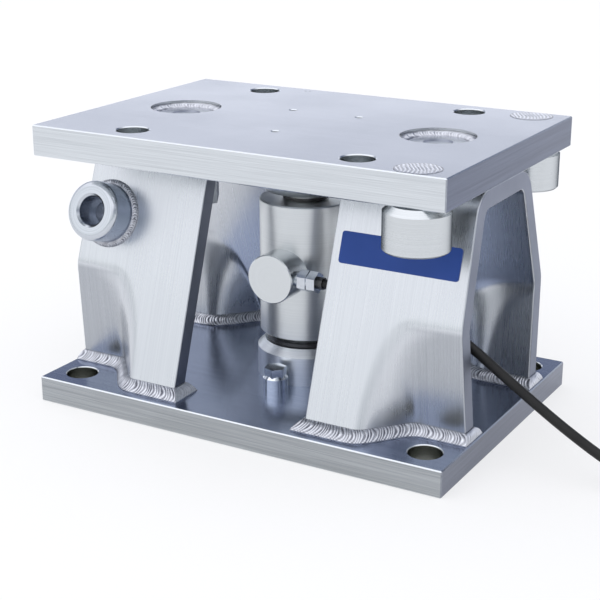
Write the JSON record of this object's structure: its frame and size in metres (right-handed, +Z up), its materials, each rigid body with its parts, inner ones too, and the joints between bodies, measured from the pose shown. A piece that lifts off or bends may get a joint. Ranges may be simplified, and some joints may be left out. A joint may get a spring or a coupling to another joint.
{
  "type": "weighing module",
  "caption": "Weighing module: a load cell between two bent-plate arches on a base plate, carrying a thick top plate held down by studs.",
  "frame": {"origin": "middle of the base plate's underside", "axes": "+X along the plates' long side towards the cable, +Y to the rear, +Z up"},
  "size_m": [0.5137, 0.213, 0.1905],
  "materials": {
    "plate_steel": "brushed",
    "bent_plate": "brushed",
    "weld_bead": "satin, rippled",
    "turned_steel": "satin turned",
    "cell_steel": "fine turned, semi-polished",
    "zinc_steel": "zinc plated",
    "nameplate_blue": "satin print",
    "seal_rubber": "matte",
    "cable_sheath": "matte",
    "tie_nylon": "matte",
    "lead_cores": "satin"
  },
  "bodies": {
    "root": {"base_plate": "plate_steel", "top_plate": "plate_steel", "left_arch": "bent_plate", "right_arch": "bent_plate", "left_front_foot_weld": "weld_bead", "left_rear_foot_weld": "weld_bead", "right_front_foot_weld": "weld_bead", "right_rear_foot_weld": "weld_bead", "front_boss_weld": "weld_bead", "rear_boss_weld": "weld_bead", "left_stud_weld": "weld_bead", "right_stud_weld": "weld_bead", "front_post_plug_weld": "weld_bead", "rear_post_plug_weld": "weld_bead", "front_socket_boss": "turned_steel", "rear_socket_boss": "turned_steel", "hex_head_pin": "turned_steel", "lower_receiver": "turned_steel", "upper_receiver": "turned_steel", "left_hold_down_stud": "turned_steel", "right_hold_down_stud": "turned_steel", "front_stop_post": "turned_steel", "rear_stop_post": "turned_steel", "receiver_screws": "turned_steel", "load_cell_housing": "cell_steel", "load_cell_column": "cell_steel", "cable_entry_block": "cell_steel", "cable_gland": "cell_steel", "left_hold_down_washer": "zinc_steel", "right_hold_down_washer": "zinc_steel", "left_hold_down_nut": "zinc_steel", "right_hold_down_nut": "zinc_steel", "nameplate": "nameplate_blue", "lower_seal": "seal_rubber", "upper_seal": "seal_rubber", "gland_insert": "seal_rubber", "cable": "cable_sheath", "cable_coil": "cable_sheath", "cable_tail": "cable_sheath", "coil_tie": "tie_nylon", "cable_leads": "lead_cores"}
  },
  "joints": []
}
